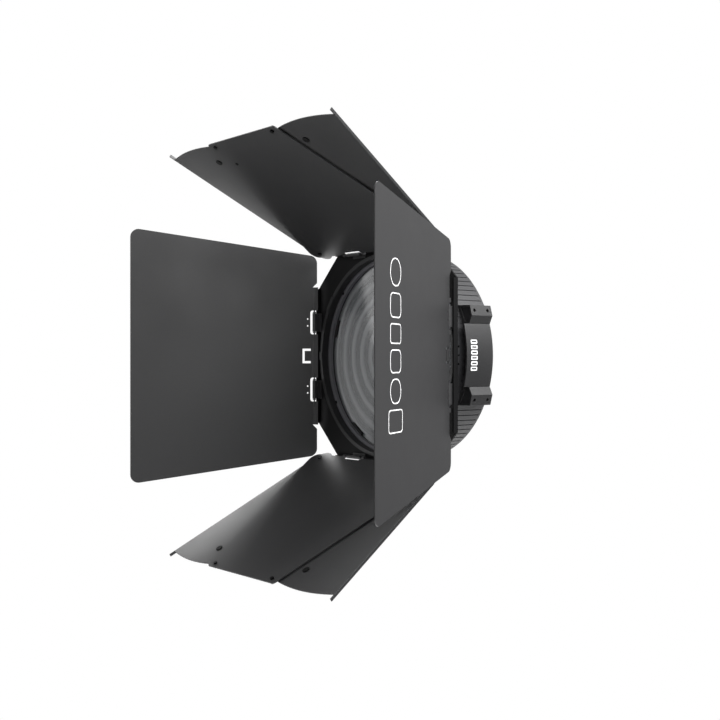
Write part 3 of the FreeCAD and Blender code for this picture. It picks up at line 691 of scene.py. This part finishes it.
# %% Put the heads on
SOCKET_HEADS = {        # node, direction, and the head's radius, height and socket in millimetres
    "lens_ring_heads": ("lens_ring_screws", to_front, (2.6, 0.9, 1.3)),
    "rear_cover_heads": ("rear_cover_screws", to_back, (3.0, 1.8, 1.5)),
    "mount_heads": ("mount_screws", to_back, (2.2, 1.5, 1.1)),
    "front_ring_heads": ("front_ring_screws", to_side, (1.5, 1.2, 0.8)),
    "guard_heads": ("guard_screws", to_slope, (2.6, 0.9, 1.3)),
}
for heads_name, (node_name, outward, head_size) in SOCKET_HEADS.items():
    place_heads(heads_name, node_name, outward, socket_head(*head_size))
place_heads("bracket_domes", "hinge_bracket_rivets", to_quarter, dome_head(1.8, 0.9))

# %% [markdown]
# The right door's outer face carries a large printed mark in thin white outline. It is drawn
# here as plain outlined shapes that mean nothing: rings and rounded bars in a column. Each
# outline is a flat strip of ink a tenth of a millimetre thick, lying on the sheet.

# %% Outlined shapes
INK_MM = 0.1            # thickness of the ink
INK_LIFT_MM = 0.02      # it lies this far above the surface
TIGHTEST_MM = 0.3       # smallest corner on the inside of an outline


def bar_path(centre, half_across, half_along, radius, corners=8):
    """Points round a rounded rectangle, across and along the surface."""
    points = []
    for quadrant, (sx, sy) in enumerate(((1, 1), (-1, 1), (-1, -1), (1, -1))):
        cx = centre[0] + sx * (half_across - radius)
        cy = centre[1] + sy * (half_along - radius)
        for step in range(corners + 1):
            angle = math.pi / 2 * (quadrant + step / corners)
            points.append((cx + radius * math.cos(angle), cy + radius * math.sin(angle)))
    return points


def outline_mark(name, shapes, line_mm, origin, across, along, normal, body):
    """Strips of ink round each (centre, half across, half along, radius), in millimetres."""
    work = bmesh.new()
    for centre, half_across, half_along, radius in shapes:
        outer = bar_path(centre, half_across, half_along, radius)
        inner = bar_path(centre, half_across - line_mm, half_along - line_mm,
                         max(radius - line_mm, TIGHTEST_MM))
        rows = []
        for loop, level in ((outer, 0.0), (outer, INK_MM), (inner, INK_MM), (inner, 0.0)):
            rows.append([work.verts.new(origin + (across * u + along * v + normal * level) * MM)
                         for u, v in loop])
        count = len(outer)
        for row in range(4):
            here, after = rows[row], rows[(row + 1) % 4]
            for index in range(count):
                following = (index + 1) % count
                work.faces.new((here[index], here[following], after[following], after[index]))
    bmesh.ops.recalc_face_normals(work, faces=work.faces)
    mesh = bpy.data.meshes.new(name)
    work.to_mesh(mesh)
    work.free()
    mesh.materials.append(MARK_PAINT)
    piece = new_piece(name, mesh)
    settle(piece, body)


# %% The mark on the right door
HINGE_ACROSS = 164.6 * MM       # from the beam axis to the door's hinge
HINGE_AHEAD = 6.1 * MM          # from the frame's rim to the hinge
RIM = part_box("frame_pan")[0][1]
SHEET_MM = 1.5
DOOR_LEAN = math.radians(29.0)  # the side doors lean out by this angle at rest
MARK_MIDDLE = 234.0             # from the hinge to the middle of the column
DOOR_LINE = 1.5                 # width of the outline
door_run = Vector((math.sin(DOOR_LEAN), -math.cos(DOOR_LEAN), 0))
door_out = Vector((math.cos(DOOR_LEAN), math.sin(DOOR_LEAN), 0))
door_hinge = Vector((HINGE_ACROSS, RIM - HINGE_AHEAD, 0))
door_origin = door_hinge + door_out * (SHEET_MM + INK_LIFT_MM) * MM
# Each shape has a middle, half its width, half its height and the radius of its corners.
shapes = [((MARK_MIDDLE, 104.0), 20.0, 18.0, 17.9), ((MARK_MIDDLE, 62.0), 20.0, 16.0, 9.0),
          ((MARK_MIDDLE, 26.0), 20.0, 13.0, 6.0), ((MARK_MIDDLE, -9.0), 20.0, 15.0, 9.0),
          ((MARK_MIDDLE, -47.0), 20.0, 16.0, 15.9), ((MARK_MIDDLE, -85.0), 26.0, 15.0, 6.0)]
outline_mark("door_mark", shapes, DOOR_LINE, door_origin, door_run, Vector((0, 0, 1)),
             door_out, "door_right")

# %% [markdown]
# A short column of small bars on the right guard, again without meaning. The guard is curved,
# so each bar lies on the plane that touches the curve at its own height.

# %% The mark on the right guard
GUARD_RADIUS = 180.0                # outer face of the guard
GUARD_MIDDLE = 31.0 * MM            # from the frame's rim back to the middle of the guard
BAR_HEIGHTS = (20.0, 12.0, 4.0, -4.0, -12.0, -20.0)
BAR = ((0.0, 0.0), 6.5, 2.9, 1.4)   # middle, half its width, half its height, corner radius
BAR_LINE = 1.7
for index, bar_height in enumerate(BAR_HEIGHTS):
    turn = math.asin(bar_height / GUARD_RADIUS)
    guard_out = Vector((math.cos(turn), 0, math.sin(turn)))
    guard_up = Vector((-math.sin(turn), 0, math.cos(turn)))
    guard_origin = (Vector((0, RIM + GUARD_MIDDLE, 0))
                    + guard_out * (GUARD_RADIUS + INK_LIFT_MM) * MM)
    outline_mark(f"guard_mark_{index}", [BAR], BAR_LINE, guard_origin, Vector((0, 1, 0)),
                 guard_up, guard_out, "housing")

# %% [markdown]
# The studio is a pale floor and large soft lights. The part hangs in the air, as on a lamp, so
# the floor is well below it.

# %% Floor
FLOOR_DROP = 0.9
FLOOR_SIZE = 1.4
FLOOR_LEVEL = CAD_BOX[0][2] - FLOOR_DROP
floor_finish = new_material("matt_white_paper")
shader_of(floor_finish).inputs["Base Color"].default_value = paint("#fafafa")
shader_of(floor_finish).inputs["Roughness"].default_value = 0.9
floor_mesh = bpy.data.meshes.new("studio_floor")
floor_mesh.from_pydata(
    [(x * FLOOR_SIZE, y * FLOOR_SIZE, FLOOR_LEVEL)
     for x, y in ((-1, -1), (1, -1), (1, 1), (-1, 1))], [], [(0, 1, 2, 3)])
floor_mesh.materials.append(floor_finish)
floor = new_piece("studio_floor", floor_mesh)

# %% [markdown]
# The room is bright overhead and dim near the floor, so a face is lighter the more it looks up.
# The backdrop that the camera sees is plain white.

# %% The room
ROOM_LOW = 0.14         # brightness near the floor
ROOM_HIGH = 1.0         # brightness overhead
LOW_LOOK = -0.3         # height of the direction at which the room starts to brighten
HIGH_LOOK = 0.8         # and at which it is fully bright
scene = bpy.context.scene
scene.view_settings.view_transform = "Standard"
world = bpy.data.worlds.new("studio_air")
world.use_nodes = True
air = world.node_tree
background = air.nodes["Background"]
look = add(air, "ShaderNodeTexCoord").outputs["Generated"]
look_up = add(air, "ShaderNodeSeparateXYZ", {"Vector": look}).outputs["Z"]
room = add(air, "ShaderNodeMapRange",
           {"Value": look_up, "From Min": LOW_LOOK, "From Max": HIGH_LOOK,
            "To Min": ROOM_LOW, "To Max": ROOM_HIGH})
seen = add(air, "ShaderNodeLightPath").outputs["Is Camera Ray"]
strength = add(air, "ShaderNodeMix", {"Factor": seen, "A": room.outputs["Result"], "B": 1.0},
               data_type="FLOAT")
background.inputs["Color"].default_value = paint("#ffffff")
air.links.new(strength.outputs["Result"], background.inputs["Strength"])
scene.world = world

# %% [markdown]
# A black object is drawn by what it reflects, so the six softboxes are large. The key is high
# on the right, with a second in front on that side. Three on the left, two of them low, grade
# the inner faces of the doors, and a weak one fills in from the front.

# %% Softboxes


def softbox(name, place, aim, width, height, power):
    """A rectangular area light turned to face a point; metres and watts."""
    lamp = bpy.data.lights.new(name, "AREA")
    lamp.shape = "RECTANGLE"
    lamp.size = width
    lamp.size_y = height
    lamp.energy = power
    holder = bpy.data.objects.new(name, lamp)
    scene.collection.objects.link(holder)
    holder.location = place
    holder.rotation_euler = (Vector(aim) - Vector(place)).to_track_quat("-Z", "Y").to_euler()


softbox("key_high_right", (1.5, 0.35, 1.5), (0.1, -0.2, 0.15), 1.5, 1.5, 96.0)
softbox("front_right", (2.3, -1.3, 0.8), (0, -0.3, 0), 1.5, 1.5, 26.0)
softbox("left_high", (-1.7, 0.45, 1.35), (0, -0.25, 0.1), 1.6, 1.6, 38.0)
softbox("left_low", (-1.7, 0.45, -1.2), (0, -0.25, -0.1), 1.2, 1.2, 12.0)
softbox("fill_front", (-0.9, -2.4, 0.3), (0, -0.2, 0), 1.6, 1.6, 6.0)
softbox("front_left_low", (-2.0, -1.75, -0.85), (0, -0.12, 0), 1.6, 1.5, 20.0)

# %% [markdown]
# The camera stands level with the beam axis, in front and to the right. Its lens is a little
# longer than a normal one, so lines draw together gently.

# %% Camera
LENS_MM = 54.32
SENSOR_MM = 36.0
LENS_SHIFT = 0.0015
CAMERA_HEADING = math.radians(50.766)
FROM_RIM = Vector((1.3157, -1.1146, -0.0087))       # from the middle of the frame's rim
camera_data = bpy.data.cameras.new("camera")
camera_data.lens = LENS_MM
camera_data.sensor_width = SENSOR_MM
camera_data.shift_y = LENS_SHIFT
camera = bpy.data.objects.new("camera", camera_data)
scene.collection.objects.link(camera)
camera.location = Vector((0, RIM, 0)) + FROM_RIM
camera.rotation_euler = (math.radians(90), 0, CAMERA_HEADING)
scene.camera = camera
